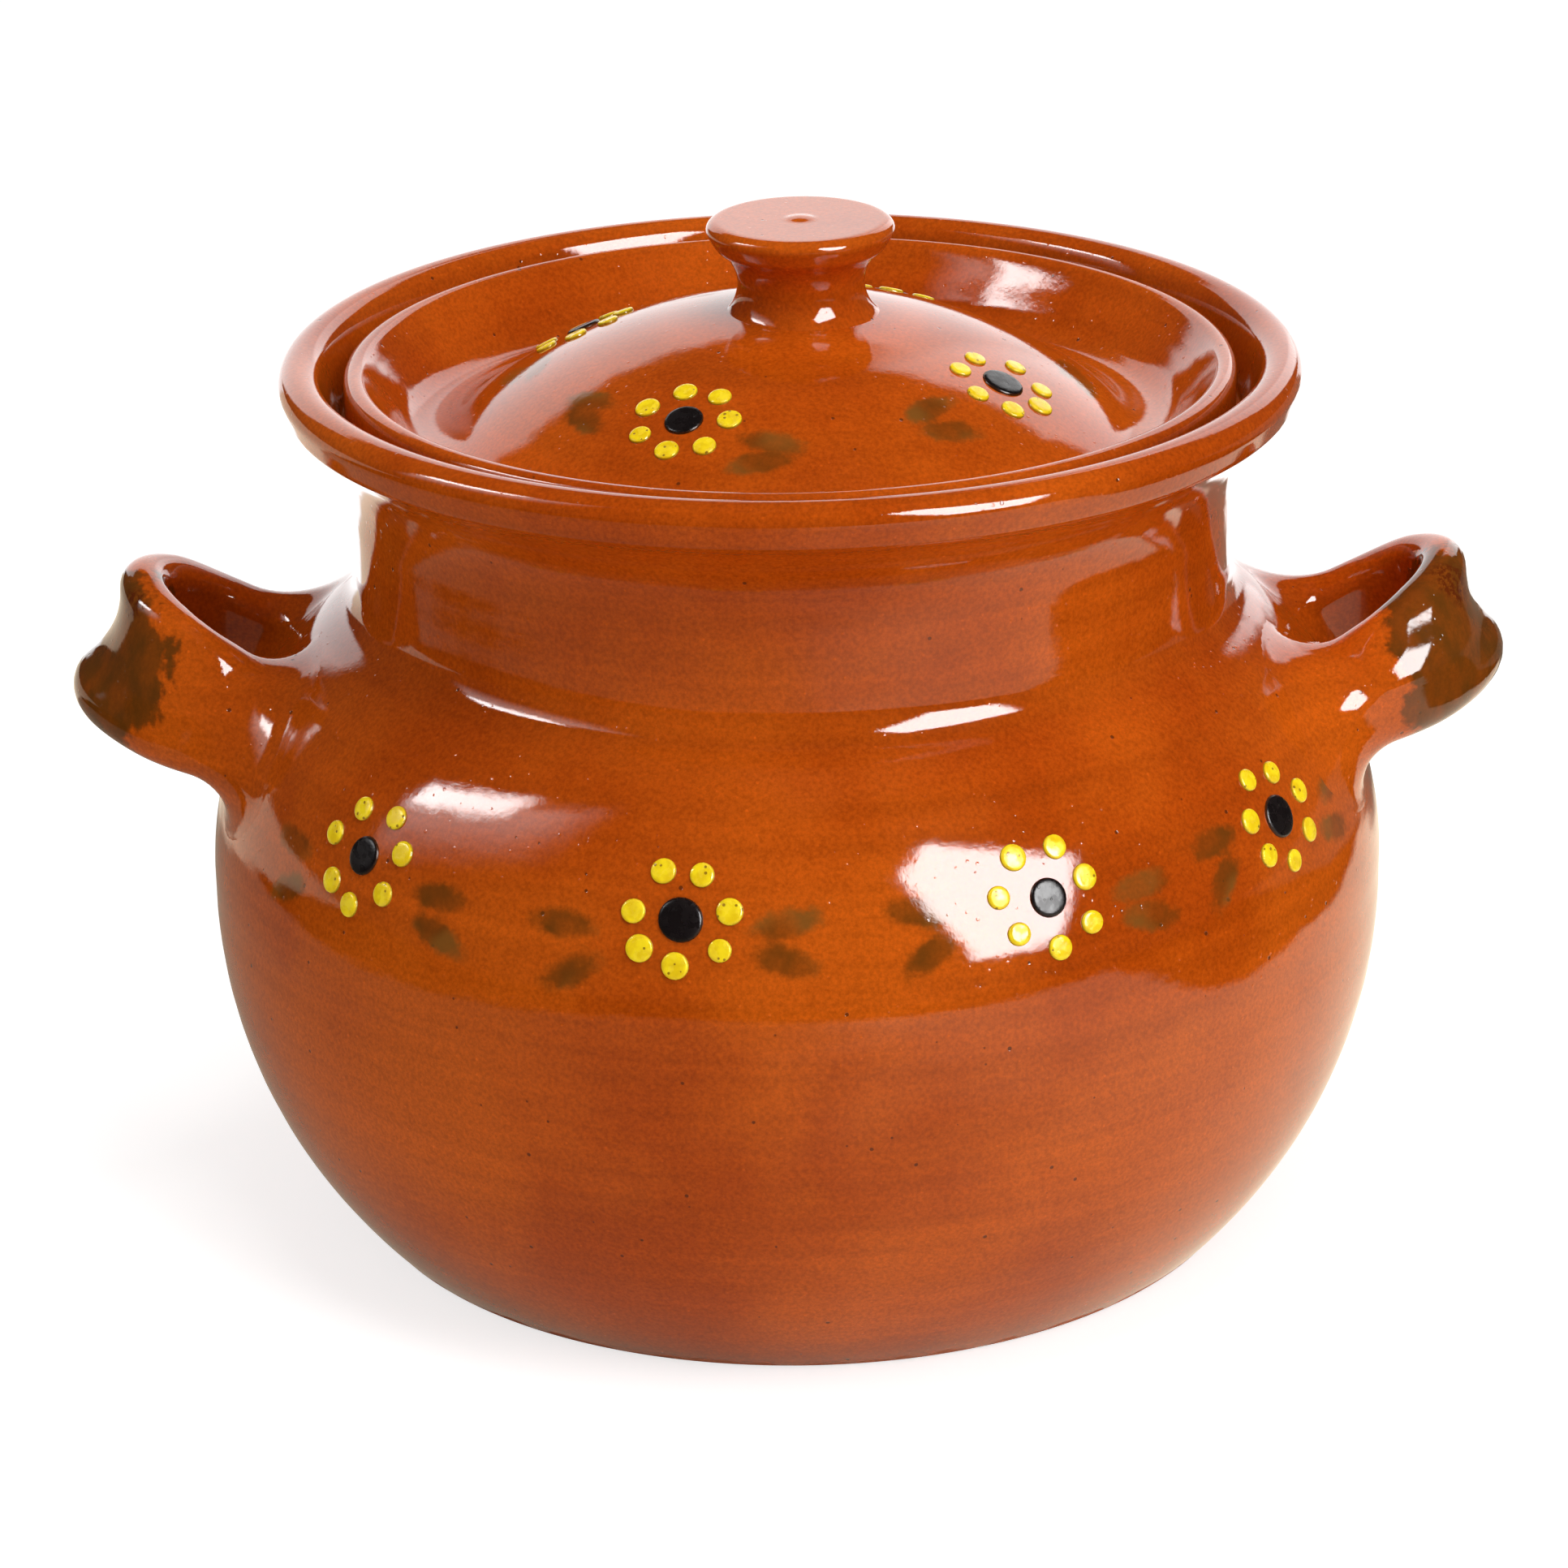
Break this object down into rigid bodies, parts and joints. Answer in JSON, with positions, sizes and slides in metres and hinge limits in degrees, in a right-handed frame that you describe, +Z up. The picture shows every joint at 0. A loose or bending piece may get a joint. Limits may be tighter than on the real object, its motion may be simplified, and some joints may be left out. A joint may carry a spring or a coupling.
{
  "type": "lidded bean pot",
  "caption": "Round-bellied glazed pot with a flared rim, a lift-off domed lid with a disc knob, strap loop handles on the shoulder and slip-dot flowers",
  "frame": {"origin": "on the surface the pot stands on, under the middle of its round foot", "axes": "+Z up along the axis the pot was thrown on; X through the two handles; the front faces -Y"},
  "size_m": [0.2799, 0.23, 0.1999],
  "materials": {
    "glazed_clay": "clear amber gloss glaze over red clay",
    "yellow_slip": "glossy raised slip",
    "black_slip": "glossy raised slip"
  },
  "bodies": {
    "pot": {"pot_body": "glazed_clay", "handle_left": "glazed_clay", "handle_right": "glazed_clay", "yellow_dots_pot": "yellow_slip", "black_dots_pot": "black_slip"},
    "lid": {"lid": "glazed_clay", "lid_knob": "glazed_clay", "yellow_dots_lid": "yellow_slip", "black_dots_lid": "black_slip"}
  },
  "joints": [
    {"name": "lid_lift", "type": "slide", "parent": "pot", "child": "lid", "axis": [0, 0, 1], "range_m": [0, 0.1]}
  ]
}
